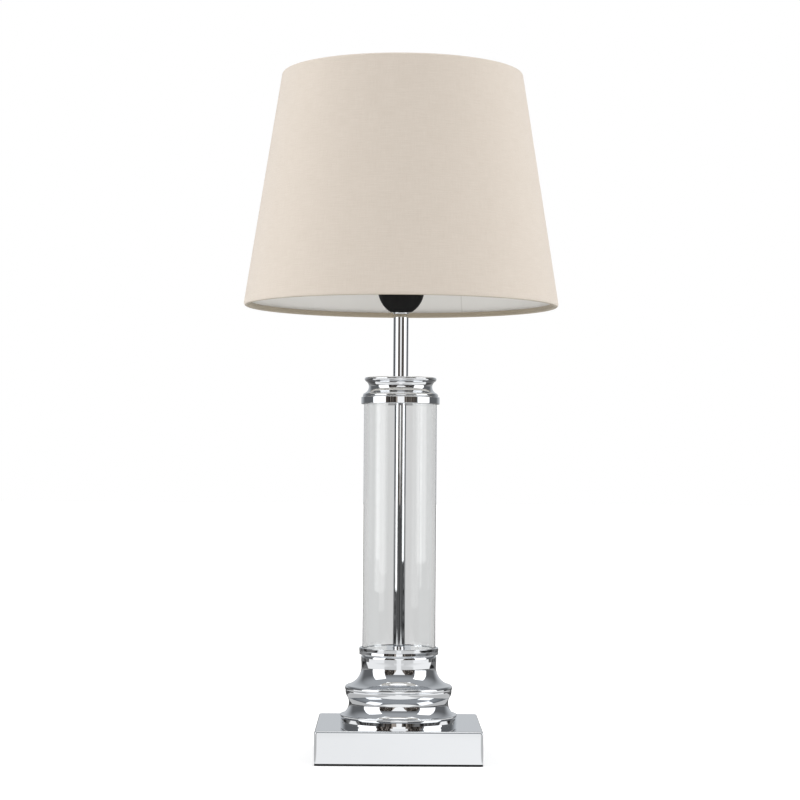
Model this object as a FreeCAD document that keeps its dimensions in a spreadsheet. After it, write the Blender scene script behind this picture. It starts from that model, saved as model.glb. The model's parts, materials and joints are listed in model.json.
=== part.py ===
import FreeCAD, Part
import math
import os
import Sketcher
from types import SimpleNamespace

# Table lamp: a square base, a turned foot, a glass column round a tie tube, a turned capital, a short
# stem, a screw-in lampholder and a tapered drum shade on a wire frame. Millimetres, +Z up, the origin
# under the middle of the base, the front facing -Y.

DRIVING_SIZES = {
    # base
    "base_side": 129.0,              # square block, side
    "base_height": 24.7,             # chromed shell without its pad
    "base_corner": 2.0,              # rounding of the upright corners
    "base_edge": 2.0,                # rounding of the top edge
    "base_wall": 1.2,                # sheet of the shell
    "edge_relief": 0.001,            # keeps the top rounding inside the corner rounding
    "pad_thickness": 1.7,            # black foam pad
    "pad_margin": 0.2,               # pad set back from the block's faces
    "cover_thickness": 1.6,          # plate that closes the shell
    "cover_gap": 0.3,                # plate to shell wall
    "ballast_side": 100.0,           # cast weight
    "ballast_height": 14.0,
    "ballast_corner": 8.0,
    "boss_radius": 5.0,              # bosses that the cover is screwed to
    "boss_spread": 41.0,             # boss centre from the middle, each way
    "cover_screw_radius": 1.6,
    "cover_screw_head_radius": 3.0,
    "cover_screw_length": 7.0,
    "bore_gap": 0.3,                 # holes that the tie tube passes through
    # cord bush in the back wall
    "cord_level": 9.5,               # bush axis above the floor
    "cord_bore_radius": 3.2,
    "bush_radius": 4.6,
    "bush_flange_radius": 6.4,
    "bush_flange": 1.5,
    "bush_gap": 0.1,
    # tie tube, nuts and washers
    "tie_radius": 4.7,               # smooth chromed length
    "tie_thread_radius": 5.0,        # rolled M10 x 1 ends
    "tie_bore_radius": 3.5,
    "tie_foot_thread": 30.0,
    "tie_head_thread": 80.0,
    "tie_chamfer": 0.6,
    "tie_protrusion": 1.3,           # below the lower nut
    "thread_slack": 0.05,            # tie tube to nuts and hub
    "nut_width": 14.0,               # across flats
    "nut_height": 5.0,
    "washer_radius": 9.0,
    "washer_thickness": 1.2,
    # foot
    "toe_radius": 46.1,              # levels in the foot count from the base top
    "toe_height": 1.4,
    "face_low_radius": 45.9,         # face between toe and bead leans out a little downwards
    "face_high_radius": 45.75,
    "face_height": 4.0,
    "bead_radius": 46.05,            # bead on top of the flange
    "bead_level": 5.4,
    "bead_side": 0.7,
    "bead_edge": 0.7,                # width of its rounded edge
    "bead_crown": 0.65,              # height of its rounded edge
    "shoulder_radius": 43.8,
    "low_waist_radius": 39.15,
    "low_waist_level": 15.8,
    "swell_radius": 41.85,
    "swell_level": 24.8,
    "swell_side": 0.9,
    "foot_ring_radius": 42.25,
    "foot_ring_level": 26.9,
    "foot_ring_side": 0.7,
    "foot_ring_edge": 1.05,
    "foot_ring_crown": 1.75,
    "neck_radius": 29.45,
    "neck_level": 43.6,
    "neck_lip_radius": 29.7,
    "neck_lip_level": 48.6,
    "neck_side": 2.6,
    "neck_top_radius": 28.9,
    "foot_rim_level": 53.6,
    "foot_rim_radius": 31.25,
    "foot_rim_top_radius": 31.15,
    "foot_rim_edge": 0.5,
    "foot_height": 56.0,
    "foot_plate": 4.0,               # plate under the collar
    "foot_low_bore": 36.0,
    "foot_high_bore": 26.0,
    "foot_shoulder_low": 24.0,       # the bore narrows between these two levels
    "foot_shoulder_high": 36.0,
    # glass column
    "seat_radius": 31.3,             # chromed collar that the glass stands in
    "seat_height": 3.1,
    "seat_edge": 0.5,
    "seat_floor": 2.5,               # chromed floor inside the glass
    "seat_groove_floor": 1.0,
    "glass_radius": 28.95,
    "glass_wall": 2.6,
    "glass_length": 195.1,
    "glass_gap": 0.3,                # glass to the sides of its grooves
    "glass_edge": 0.4,
    "gasket_thickness": 0.8,
    "necking_radius": 31.1,          # chromed ring on top of the glass
    "necking_height": 5.6,
    "necking_groove": 2.6,
    "necking_edge": 0.5,
    # capital
    "capital_height": 15.5,
    "capital_base_radius": 29.2,
    "capital_foot_radius": 29.9,
    "capital_foot_level": 1.0,
    "capital_foot_top_radius": 28.6,
    "capital_foot_top_level": 3.0,
    "capital_waist_radius": 25.15,
    "capital_waist_level": 8.3,
    "capital_lip_start_radius": 27.4,
    "capital_lip_start_level": 12.4,
    "capital_lip_radius": 28.5,
    "capital_lip_edge": 1.2,
    "capital_bore": 21.5,
    "capital_plate": 3.5,
    # stem
    "stem_radius": 6.0,
    "stem_bore_radius": 5.15,
    "stem_length": 50.4,
    "ferrule_radius": 6.4,
    "ferrule_height": 2.0,
    "ferrule_edge": 0.6,
    # lampholder
    "dome_flat": 8.8,
    "dome_radius": 18.4,
    "dome_depth": 17.5,
    "dome_rim": 1.5,
    "dome_wall": 1.8,
    "hub_radius": 8.0,
    "hub_height": 9.5,
    "hub_floor": 3.4,
    "collar_radius": 22.5,           # shoulder that the shade rests on
    "collar_thickness": 3.0,
    "skirt_radius": 19.6,
    "skirt_height": 30.0,
    "skirt_bore": 15.2,
    "skirt_lip": 1.5,
    "skirt_edge": 0.5,
    "spigot_depth": 3.4,
    "ledge_depth": 3.6,              # ledge in the dome that the insert sits on
    "ledge_radius": 14.0,
    "holder_gap": 0.2,
    "insert_height": 9.0,
    "insert_recess_radius": 8.4,
    "insert_recess": 1.0,
    "terminal_width": 3.6,
    "terminal_length": 5.4,
    "terminal_depth": 5.4,
    "terminal_offset": 10.6,
    "terminal_screw_head_radius": 1.8,
    "terminal_screw_head": 1.2,
    # screw shell, 27 mm edison thread as plain rings
    "thread_root_radius": 13.4,
    "thread_crest_radius": 12.3,
    "thread_pitch": 3.63,
    "thread_start": 2.4,
    "shell_sheet": 0.35,
    "shell_floor_radius": 11.4,
    # centre contact
    "leaf_width": 5.0,
    "leaf_thickness": 0.4,
    "leaf_root": 4.4,                # root of the leaf from the axis
    "leaf_tip": 3.4,                 # tip of the leaf past the axis
    "leaf_lift": 2.6,                # rise from root to tip
    "leaf_gap": 0.15,
    "rivet_radius": 1.6,
    "rivet_height": 0.8,
    # shade
    "shade_bottom_radius": 125.0,
    "shade_top_radius": 95.7,
    "shade_height": 185.4,
    "shade_drop": 18.0,              # fitter ring above the lower edge
    "cloth_thickness": 0.6,
    "lining_thickness": 0.4,
    "wire_radius": 1.4,
    "wire_slack": 0.12,              # wire to its hem
    "lining_gap": 0.1,               # glue line between cloth and lining
    "hem_reach": 2.4,                # turned-in hem beyond the wire's middle
    "fitter_radius": 26.0,
    "fitter_thickness": 1.2,
    "fitter_gap": 0.35,
    "arm_radius": 1.1,
    "arm_bend": 6.0,
    "arm_weld": 1.6,                 # arm end over the fitter ring
    "arm_foot_weld": 0.4,            # arm end into the lower wire ring
    "arm_gap": 0.1,                  # arm to the lining
    "arm_first_angle": 90.0,
    "arm_count": 3,
    # ring nut that holds the shade down
    "ring_nut_radius": 24.0,
    "ring_nut_height": 8.0,
    "ring_nut_edge": 0.8,
    "grip_radius": 1.0,
    "grip_depth": 0.5,
    "grip_count": 24,
    "running_gap": 0.08,
}

THREAD_TURNS = 4
LEVEL_TOLERANCE = 1e-6

doc = FreeCAD.newDocument("lamp")
sheet = doc.addObject("Spreadsheet::Sheet", "Sizes")


class Size:
    """A length as a sheet expression together with its present value."""

    def __init__(self, text, value):
        self.text = text
        self.value = value

    def __add__(self, other):
        other = as_size(other)
        return Size(f"({self.text} + {other.text})", self.value + other.value)

    def __radd__(self, other):
        return as_size(other) + self

    def __sub__(self, other):
        other = as_size(other)
        return Size(f"({self.text} - {other.text})", self.value - other.value)

    def __rsub__(self, other):
        return as_size(other) - self

    def __mul__(self, other):
        other = as_size(other)
        return Size(f"({self.text} * {other.text})", self.value * other.value)

    def __rmul__(self, other):
        return as_size(other) * self

    def __truediv__(self, other):
        other = as_size(other)
        return Size(f"({self.text} / {other.text})", self.value / other.value)

    def __neg__(self):
        return Size(f"(0 - {self.text})", -self.value)


def as_size(number):
    """A plain number becomes a Size; a Size stays as it is."""
    if isinstance(number, Size):
        return number
    return Size(repr(float(number)), float(number))


def root(size):
    """Square root of a Size."""
    return Size(f"sqrt({size.text})", math.sqrt(size.value))


def fill_sheet():
    """One row for each driving size: its name, its number and its alias."""
    sizes = SimpleNamespace()
    for row, (name, number) in enumerate(DRIVING_SIZES.items(), start=1):
        sheet.set(f"A{row}", name)
        sheet.set(f"B{row}", str(number))
        sheet.setAlias(f"B{row}", name)
        setattr(sizes, name, Size(f"Sizes.{name}", float(number)))
    doc.recompute()
    return sizes


d = fill_sheet()
PARTS = []


# ---------------------------------------------------------------- helpers


def keep(part, name):
    """Name a finished sub-part and put it on the list of pieces."""
    part.Label = name
    PARTS.append(part)
    return part


def new_body(name, level=None):
    """An empty body whose own floor lies at the level given."""
    body = doc.addObject("PartDesign::Body", name)
    if level is not None:
        body.setExpression("Placement.Base.z", level.text)
    return keep(body, name)


def new_sketch(body, name, plane="XZ_Plane"):
    """A sketch on one of the body's own origin planes."""
    sketch = body.newObject("Sketcher::SketchObject", name)
    for feature in body.Origin.OriginFeatures:
        if feature.Role == plane:
            sketch.AttachmentSupport = [(feature, "")]
    sketch.MapMode = "FlatFace"
    return sketch


def shorter_way(centre, start, end):
    """Whether the shorter of a circle's two arcs from start to end runs anticlockwise."""
    before = (start[0].value - centre[0], start[1].value - centre[1])
    after = (end[0].value - centre[0], end[1].value - centre[1])
    return before[0] * after[1] - before[1] * after[0] > 0


def upright_at_start(start, end):
    """Arc that leaves its start straight up or down.

    Like each bend it gives the rule that holds the arc, its size, the centre and the way round.
    """
    across = end[0] - start[0]
    up = end[1] - start[1]
    reach = (across * across + up * up) / (2 * across)
    centre = (start[0].value + reach.value, start[1].value)
    radius = reach if reach.value > 0 else -reach
    return "Radius", radius, centre, shorter_way(centre, start, end)


def upright_at_end(start, end):
    """The same arc, straight up or down where it ends."""
    rule, radius, centre, forward = upright_at_start(end, start)
    return rule, radius, centre, not forward


def half_turn(forward):
    """Half circle between the two corners, anticlockwise when forward."""

    def bend(start, end):
        middle = ((start[0].value + end[0].value) / 2, (start[1].value + end[1].value) / 2)
        return "Angle", as_size(math.pi), middle, forward

    return bend


def round_about(across, up):
    """Arc about a centre given by its place; its radius is the distance to the start."""

    def bend(start, end):
        reach_across = start[0] - across
        reach_up = start[1] - up
        radius = root(reach_across * reach_across + reach_up * reach_up)
        centre = (across.value, up.value)
        return "Radius", radius, centre, shorter_way(centre, start, end)

    return bend


def outline(sketch, corners):
    """Closed outline through the corners, each (across, up) or (across, up, bend to the next).

    Every corner is held by its two distances from the origin and every arc by its radius.
    """
    points = [(as_size(corner[0]), as_size(corner[1])) for corner in corners]
    bends = [corner[2] if len(corner) > 2 else None for corner in corners]
    count = len(points)
    ends = []
    bound = []
    half_turns = []
    for index in range(count):
        start = points[index]
        end = points[(index + 1) % count]
        here = FreeCAD.Vector(start[0].value, start[1].value, 0)
        there = FreeCAD.Vector(end[0].value, end[1].value, 0)
        if bends[index] is None:
            geometry = sketch.addGeometry(Part.LineSegment(here, there), False)
            ends.append((geometry, 1, 2))
            continue
        rule, size, centre, forward = bends[index](start, end)
        middle = FreeCAD.Vector(centre[0], centre[1], 0)
        first = math.atan2(here.y - middle.y, here.x - middle.x)
        last = math.atan2(there.y - middle.y, there.x - middle.x)
        if not forward:
            first, last = last, first
        circle = Part.Circle(middle, FreeCAD.Vector(0, 0, 1), (here - middle).Length)
        geometry = sketch.addGeometry(Part.ArcOfCircle(circle, first, last), False)
        ends.append((geometry, 1, 2) if forward else (geometry, 2, 1))
        if rule == "Angle":
            half_turns.append(Sketcher.Constraint(rule, geometry, size.value))
        else:
            bound.append((Sketcher.Constraint(rule, geometry, size.value), size))
    joins = []
    for index in range(count):
        geometry, begin, finish = ends[index]
        following = ends[(index + 1) % count]
        joins.append(Sketcher.Constraint("Coincident", geometry, finish, following[0], following[1]))
        for axis, kind, place in ((-2, "DistanceX", points[index][0]), (-1, "DistanceY", points[index][1])):
            if place.value == 0:
                joins.append(Sketcher.Constraint("PointOnObject", geometry, begin, axis))
            else:
                bound.append((Sketcher.Constraint(kind, -1, 1, geometry, begin, place.value), place))
    sketch.addConstraint(joins + half_turns)
    for constraint, size in bound:
        number = sketch.addConstraint(constraint)
        sketch.setExpression(f"Constraints[{number}]", size.text)


def turned(name, level, corners):
    """A body of revolution: the outline in its upper right half-plane, turned about the axis."""
    body = new_body(name, level)
    sketch = new_sketch(body, name + "_profile")
    outline(sketch, corners)
    turn = body.newObject("PartDesign::Revolution", name + "_turn")
    turn.Profile = sketch
    turn.ReferenceAxis = (sketch, ["V_Axis"])
    turn.Angle = 360
    return body


def disc_with_hole(name, level, radius, hole, thickness):
    """A flat washer."""
    return turned(name, level, [(hole, 0), (radius, 0), (radius, thickness), (hole, thickness)])


def square_sketch(body, name, side, corner):
    """Square about the origin with rounded corners, on the body's floor."""
    sketch = new_sketch(body, name, "XY_Plane")
    half = side.value / 2
    inner = half - corner.value
    lines = []
    arcs = []
    for quarter in range(4):
        angle = quarter * math.pi / 2
        turn = FreeCAD.Rotation(FreeCAD.Vector(0, 0, 1), math.degrees(angle))
        low = turn.multVec(FreeCAD.Vector(half, -inner, 0))
        high = turn.multVec(FreeCAD.Vector(half, inner, 0))
        middle = turn.multVec(FreeCAD.Vector(inner, inner, 0))
        lines.append(sketch.addGeometry(Part.LineSegment(low, high), False))
        circle = Part.Circle(middle, FreeCAD.Vector(0, 0, 1), corner.value)
        arcs.append(sketch.addGeometry(Part.ArcOfCircle(circle, angle, angle + math.pi / 2), False))
    rules = []
    for quarter in range(4):
        following = (quarter + 1) % 4
        rules.append(Sketcher.Constraint("Tangent", lines[quarter], 2, arcs[quarter], 1))
        rules.append(Sketcher.Constraint("Tangent", arcs[quarter], 2, lines[following], 1))
        rules.append(Sketcher.Constraint("Vertical" if quarter % 2 == 0 else "Horizontal", lines[quarter]))
        if quarter:
            rules.append(Sketcher.Constraint("Equal", arcs[0], arcs[quarter]))
    rules.append(Sketcher.Constraint("Symmetric", lines[0], 1, lines[2], 1, -1, 1))
    sketch.addConstraint(rules)
    for constraint, size in (
        (Sketcher.Constraint("Radius", arcs[0], corner.value), corner),
        (Sketcher.Constraint("DistanceX", lines[2], 1, lines[0], 2, side.value), side),
        (Sketcher.Constraint("DistanceY", lines[3], 2, lines[1], 1, side.value), side),
    ):
        number = sketch.addConstraint(constraint)
        sketch.setExpression(f"Constraints[{number}]", size.text)
    return sketch


def circle_sketch(body, name, places, radius, plane="XY_Plane"):
    """Circles of one radius, each with its centre at (across, up) in the sketch."""
    sketch = new_sketch(body, name, plane)
    for across, up in places:
        across = as_size(across)
        up = as_size(up)
        middle = FreeCAD.Vector(across.value, up.value, 0)
        circle = Part.Circle(middle, FreeCAD.Vector(0, 0, 1), radius.value)
        geometry = sketch.addGeometry(circle, False)
        number = sketch.addConstraint(Sketcher.Constraint("Radius", geometry, radius.value))
        sketch.setExpression(f"Constraints[{number}]", radius.text)
        for axis, kind, place in ((-2, "DistanceX", across), (-1, "DistanceY", up)):
            if place.value == 0:
                sketch.addConstraint(Sketcher.Constraint("PointOnObject", geometry, 3, axis))
                continue
            number = sketch.addConstraint(Sketcher.Constraint(kind, -1, 1, geometry, 3, place.value))
            sketch.setExpression(f"Constraints[{number}]", place.text)
    return sketch


def pad(body, sketch, height, name):
    """Material from the sketch's plane up to the height."""
    feature = body.newObject("PartDesign::Pad", name)
    feature.Profile = sketch
    feature.setExpression("Length", height.text)
    return feature


def pocket(body, sketch, depth, name, reverse=True):
    """A cut of the depth given, upwards from the sketch's plane when reversed."""
    feature = body.newObject("PartDesign::Pocket", name)
    feature.Profile = sketch
    feature.Reversed = reverse
    feature.setExpression("Length", depth.text)
    return feature


# ---------------------------------------------------------------- levels


shell_floor = d.pad_thickness
base_top = shell_floor + d.base_height
ballast_floor = base_top - d.base_wall - d.ballast_height
tie_washer_floor = ballast_floor - d.washer_thickness
tie_nut_floor = tie_washer_floor - d.nut_height
tie_floor = tie_nut_floor - d.tie_protrusion
seat_level = base_top + d.foot_height
low_gasket_level = seat_level + d.seat_groove_floor
glass_level = low_gasket_level + d.gasket_thickness
high_gasket_level = glass_level + d.glass_length
necking_level = high_gasket_level + d.gasket_thickness - d.necking_groove
capital_level = necking_level + d.necking_height
stem_level = capital_level + d.capital_height
ferrule_level = stem_level + d.stem_length
holder_level = ferrule_level + d.ferrule_height
collar_level = holder_level + d.dome_depth + d.dome_rim
insert_level = collar_level - d.ledge_depth
shell_level = insert_level + d.insert_height
fitter_level = collar_level + d.collar_thickness + d.running_gap
ring_nut_level = fitter_level + d.fitter_thickness + d.running_gap
shade_level = fitter_level - d.shade_drop
tie_hole = d.tie_thread_radius + d.bore_gap
glass_bore = d.glass_radius - d.glass_wall


# ---------------------------------------------------------------- base


def build_base_pad():
    body = new_body("base_pad")
    side = d.base_side - 2 * d.pad_margin
    pad(body, square_sketch(body, "pad_square", side, d.base_corner), d.pad_thickness, "pad_sheet")


def build_base_shell():
    """Rounded block, hollowed from below, with the tie hole on top and the cord hole at the back."""
    body = new_body("base_shell", shell_floor)
    square = square_sketch(body, "shell_square", d.base_side, d.base_corner)
    block = pad(body, square, d.base_height, "shell_block")
    doc.recompute()
    top = d.base_height.value
    edges = [
        f"Edge{number}"
        for number, edge in enumerate(block.Shape.Edges, start=1)
        if all(abs(vertex.Z - top) < LEVEL_TOLERANCE for vertex in edge.Vertexes)
    ]
    rounded = body.newObject("PartDesign::Fillet", "shell_edge")
    rounded.Base = (block, edges)
    rounded.setExpression("Radius", (d.base_edge - d.edge_relief).text)
    doc.recompute()
    inner_side = d.base_side - 2 * d.base_wall
    inner_corner = d.base_corner - d.base_wall
    hollow = square_sketch(body, "shell_hollow_square", inner_side, inner_corner)
    pocket(body, hollow, d.base_height - d.base_wall, "shell_hollow")
    pocket(body, circle_sketch(body, "shell_tie_circle", [(0, 0)], tie_hole), d.base_height, "shell_tie_hole")
    cord = circle_sketch(body, "shell_cord_circle", [(0, d.cord_level - shell_floor)],
                         d.bush_radius + d.bush_gap, "XZ_Plane")
    pocket(body, cord, d.base_side / 2, "shell_cord_hole", reverse=False)


def build_base_cover():
    body = new_body("base_cover", shell_floor)
    side = d.base_side - 2 * (d.base_wall + d.cover_gap)
    corner = d.base_corner - d.base_wall
    pad(body, square_sketch(body, "cover_square", side, corner), d.cover_thickness, "cover_plate")
    places = [(x * d.boss_spread, y * d.boss_spread) for x in (-1, 1) for y in (-1, 1)]
    holes = circle_sketch(body, "cover_circles", places, d.cover_screw_head_radius)
    pocket(body, holes, d.cover_thickness, "cover_holes")


def build_ballast():
    """Cast weight that hangs from the shell, with a boss for each cover screw."""
    body = new_body("ballast", ballast_floor)
    square = square_sketch(body, "ballast_square", d.ballast_side, d.ballast_corner)
    pad(body, square, d.ballast_height, "ballast_block")
    places = [(x * d.boss_spread, y * d.boss_spread) for x in (-1, 1) for y in (-1, 1)]
    bosses = circle_sketch(body, "ballast_boss_circles", places, d.boss_radius)
    feature = pad(body, bosses, ballast_floor - shell_floor - d.cover_thickness, "ballast_bosses")
    feature.Reversed = True
    pocket(body, circle_sketch(body, "ballast_tie_circle", [(0, 0)], tie_hole), d.ballast_height,
           "ballast_tie_hole")
    sockets = circle_sketch(body, "ballast_screw_circles", places, d.cover_screw_radius)
    depth = d.cover_screw_length - (ballast_floor - shell_floor)
    pocket(body, sockets, ballast_floor - shell_floor, "ballast_screw_holes", reverse=False)
    if depth.value > 0:
        pocket(body, sockets, depth, "ballast_screw_ends")


def build_cover_screws():
    """Four pan-head screws, heads flush in the cover."""
    screws = []
    for x in (-1, 1):
        for y in (-1, 1):
            tag = f"cover_screw_{len(screws) + 1}"
            head = doc.addObject("Part::Cylinder", tag + "_head")
            head.setExpression("Radius", (d.cover_screw_head_radius - d.bush_gap).text)
            head.setExpression("Height", d.cover_thickness.text)
            shank = doc.addObject("Part::Cylinder", tag + "_shank")
            shank.setExpression("Radius", d.cover_screw_radius.text)
            shank.setExpression("Height", d.cover_screw_length.text)
            screw = doc.addObject("Part::Fuse", tag)
            screw.Base = head
            screw.Tool = shank
            screw.setExpression("Placement.Base.x", (x * d.boss_spread).text)
            screw.setExpression("Placement.Base.y", (y * d.boss_spread).text)
            screws.append(screw)
    group = doc.addObject("Part::Compound", "cover_screws")
    group.Links = screws
    group.setExpression("Placement.Base.z", shell_floor.text)
    keep(group, "cover_screws")


def build_cord_bush():
    """Flanged bush snapped into the back wall; its bore is the cord's way out."""
    inner = d.bush_flange_radius - d.bush_flange / 2
    snap = d.bush_flange + d.base_wall + d.bush_gap
    body = turned("cord_bush", None, [
        (d.cord_bore_radius, 0),
        (inner, 0),
        (inner, d.bush_flange),
        (d.bush_radius, d.bush_flange),
        (d.bush_radius, snap),
        (d.bush_flange_radius - d.bush_flange / 3, snap),
        (d.bush_flange_radius, snap + d.bush_flange / 3),
        (d.bush_flange_radius, snap + d.bush_flange * 2 / 3),
        (d.bush_flange_radius - d.bush_flange / 3, snap + d.bush_flange),
        (d.cord_bore_radius, snap + d.bush_flange),
    ])
    body.Placement.Rotation = FreeCAD.Rotation(FreeCAD.Vector(1, 0, 0), -90)
    body.setExpression("Placement.Base.y", (d.base_side / 2 + d.bush_gap - snap).text)
    body.setExpression("Placement.Base.z", d.cord_level.text)


def build_hex_nut(name, level):
    """Hexagon nut on the tie tube's thread."""
    block = doc.addObject("Part::Prism", name + "_block")
    block.Polygon = 6
    block.setExpression("Circumradius", (d.nut_width / root(as_size(3))).text)
    block.setExpression("Height", d.nut_height.text)
    bore = doc.addObject("Part::Cylinder", name + "_bore")
    bore.setExpression("Radius", (d.tie_thread_radius + d.thread_slack).text)
    bore.setExpression("Height", d.nut_height.text)
    nut = doc.addObject("Part::Cut", name)
    nut.Base = block
    nut.Tool = bore
    nut.setExpression("Placement.Base.z", level.text)
    keep(nut, name)


def build_tie_tube():
    """Smooth tube with a rolled thread at each end, from under the ballast into the lampholder."""
    length = holder_level + d.hub_height - tie_floor
    smooth_top = length - d.tie_head_thread
    turned("tie_tube", tie_floor, [
        (d.tie_bore_radius, 0),
        (d.tie_thread_radius - d.tie_chamfer, 0),
        (d.tie_thread_radius, d.tie_chamfer),
        (d.tie_thread_radius, d.tie_foot_thread),
        (d.tie_radius, d.tie_foot_thread + d.tie_chamfer),
        (d.tie_radius, smooth_top - d.tie_chamfer),
        (d.tie_thread_radius, smooth_top),
        (d.tie_thread_radius, length - d.tie_chamfer),
        (d.tie_thread_radius - d.tie_chamfer, length),
        (d.tie_bore_radius, length),
    ])


# ---------------------------------------------------------------- foot and column


def build_foot():
    """Flange with its bead, lower scotia, swell, ring, upper scotia, neck and rim; hollow below its plate."""
    bead_top = d.bead_level + d.bead_side + d.bead_crown
    middle_radius = (d.low_waist_radius + d.swell_radius) / 2
    middle_level = (d.low_waist_level + d.swell_level) / 2
    ring_top = d.foot_ring_level + d.foot_ring_side
    plate_floor = d.foot_height - d.foot_plate
    turned("foot", base_top, [
        (d.foot_low_bore, 0),
        (d.toe_radius, 0),
        (d.face_low_radius, d.toe_height),
        (d.face_high_radius, d.face_height, upright_at_end),
        (d.bead_radius, d.bead_level),
        (d.bead_radius, d.bead_level + d.bead_side, upright_at_start),
        (d.bead_radius - d.bead_edge, bead_top),
        (d.shoulder_radius, bead_top, upright_at_end),
        (d.low_waist_radius, d.low_waist_level, upright_at_start),
        (middle_radius, middle_level, upright_at_end),
        (d.swell_radius, d.swell_level),
        (d.swell_radius, d.swell_level + d.swell_side, upright_at_end),
        (d.foot_ring_radius, d.foot_ring_level),
        (d.foot_ring_radius, ring_top, upright_at_start),
        (d.foot_ring_radius - d.foot_ring_edge, ring_top + d.foot_ring_crown, upright_at_end),
        (d.neck_radius, d.neck_level, upright_at_start),
        (d.neck_lip_radius, d.neck_lip_level),
        (d.neck_lip_radius, d.neck_lip_level + d.neck_side, upright_at_start),
        (d.neck_top_radius, d.foot_rim_level),
        (d.foot_rim_radius - d.foot_rim_edge, d.foot_rim_level, upright_at_end),
        (d.foot_rim_radius, d.foot_rim_level + d.foot_rim_edge),
        (d.foot_rim_top_radius, d.foot_height),
        (tie_hole, d.foot_height),
        (tie_hole, plate_floor),
        (d.foot_high_bore, plate_floor),
        (d.foot_high_bore, d.foot_shoulder_high),
        (d.foot_low_bore, d.foot_shoulder_low),
    ])


def build_glass_seat():
    """Chromed collar: a rim round the glass, the groove it stands in and the floor inside it."""
    groove_out = d.glass_radius + d.glass_gap
    groove_in = glass_bore - d.glass_gap
    turned("glass_seat", seat_level, [
        (tie_hole, 0),
        (d.seat_radius - d.seat_edge, 0, upright_at_end),
        (d.seat_radius, d.seat_edge),
        (d.seat_radius, d.seat_height - d.seat_edge, upright_at_start),
        (d.seat_radius - d.seat_edge, d.seat_height),
        (groove_out, d.seat_height),
        (groove_out, d.seat_groove_floor),
        (groove_in, d.seat_groove_floor),
        (groove_in, d.seat_floor),
        (tie_hole, d.seat_floor),
    ])


def build_glass_tube():
    """Clear tube with its end edges ground."""
    turned("glass_tube", glass_level, [
        (glass_bore + d.glass_edge, 0),
        (d.glass_radius - d.glass_edge, 0, upright_at_end),
        (d.glass_radius, d.glass_edge),
        (d.glass_radius, d.glass_length - d.glass_edge, upright_at_start),
        (d.glass_radius - d.glass_edge, d.glass_length),
        (glass_bore + d.glass_edge, d.glass_length, upright_at_end),
        (glass_bore, d.glass_length - d.glass_edge),
        (glass_bore, d.glass_edge, upright_at_start),
    ])


def build_necking_ring():
    """Chromed ring that takes the top of the glass in a groove."""
    groove_out = d.glass_radius + d.glass_gap
    groove_in = glass_bore - d.glass_gap
    turned("necking_ring", necking_level, [
        (tie_hole, 0),
        (groove_in, 0),
        (groove_in, d.necking_groove),
        (groove_out, d.necking_groove),
        (groove_out, 0),
        (d.necking_radius - d.necking_edge, 0, upright_at_end),
        (d.necking_radius, d.necking_edge),
        (d.necking_radius, d.necking_height - d.necking_edge, upright_at_start),
        (d.necking_radius - d.necking_edge, d.necking_height),
        (tie_hole, d.necking_height),
    ])


def build_capital():
    """Turned capital: a foot, a scotia and a rounded lip; hollow below its top plate."""
    lip_level = d.capital_height - d.capital_lip_edge
    ceiling = d.capital_height - d.capital_plate
    turned("capital", capital_level, [
        (d.capital_bore, 0),
        (d.capital_base_radius, 0, upright_at_end),
        (d.capital_foot_radius, d.capital_foot_level, upright_at_start),
        (d.capital_foot_top_radius, d.capital_foot_top_level, upright_at_end),
        (d.capital_waist_radius, d.capital_waist_level, upright_at_start),
        (d.capital_lip_start_radius, d.capital_lip_start_level, upright_at_end),
        (d.capital_lip_radius, lip_level, upright_at_start),
        (d.capital_lip_radius - d.capital_lip_edge, d.capital_height),
        (tie_hole, d.capital_height),
        (tie_hole, ceiling),
        (d.capital_bore, ceiling),
    ])


def build_stem():
    """Stem tube and the ferrule between it and the lampholder."""
    disc_with_hole("stem_tube", stem_level, d.stem_radius, d.stem_bore_radius, d.stem_length)
    middle = d.ferrule_height / 2
    turned("stem_ferrule", ferrule_level, [
        (d.stem_bore_radius, 0),
        (d.ferrule_radius - d.ferrule_edge, 0, upright_at_end),
        (d.ferrule_radius, middle, upright_at_start),
        (d.ferrule_radius - d.ferrule_edge, d.ferrule_height),
        (d.stem_bore_radius, d.ferrule_height),
    ])


# ---------------------------------------------------------------- lampholder


def build_holder_cap():
    """Black dome with a threaded hub and a ledge for the insert."""
    rim_top = d.dome_depth + d.dome_rim
    inner_radius = d.dome_radius - d.dome_wall
    bore = d.tie_thread_radius + d.thread_slack
    turned("holder_cap", holder_level, [
        (bore, 0),
        (d.dome_flat, 0, upright_at_end),
        (d.dome_radius, d.dome_depth),
        (d.dome_radius, rim_top),
        (inner_radius, rim_top),
        (inner_radius, rim_top - d.ledge_depth),
        (d.ledge_radius, rim_top - d.ledge_depth, upright_at_start),
        (d.hub_radius, d.hub_floor),
        (d.hub_radius, d.hub_height),
        (bore, d.hub_height),
    ])


def build_holder_skirt():
    """Skirt with the shade shoulder, a spigot in the dome and a lip over the screw shell."""
    spigot = d.dome_radius - d.dome_wall - d.holder_gap
    shoulder = d.collar_thickness
    top = shoulder + d.skirt_height
    mouth = d.thread_root_radius + d.shell_sheet
    turned("holder_skirt", collar_level, [
        (d.skirt_bore, -d.spigot_depth),
        (spigot, -d.spigot_depth),
        (spigot, 0),
        (d.collar_radius - d.skirt_edge, 0, upright_at_end),
        (d.collar_radius, d.skirt_edge),
        (d.collar_radius, shoulder - d.skirt_edge, upright_at_start),
        (d.collar_radius - d.skirt_edge, shoulder),
        (d.skirt_radius, shoulder),
        (d.skirt_radius, top - d.skirt_edge, upright_at_start),
        (d.skirt_radius - d.skirt_edge, top),
        (mouth, top),
        (mouth, top - d.skirt_lip),
        (d.skirt_bore, top - d.skirt_lip),
    ])


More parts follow.
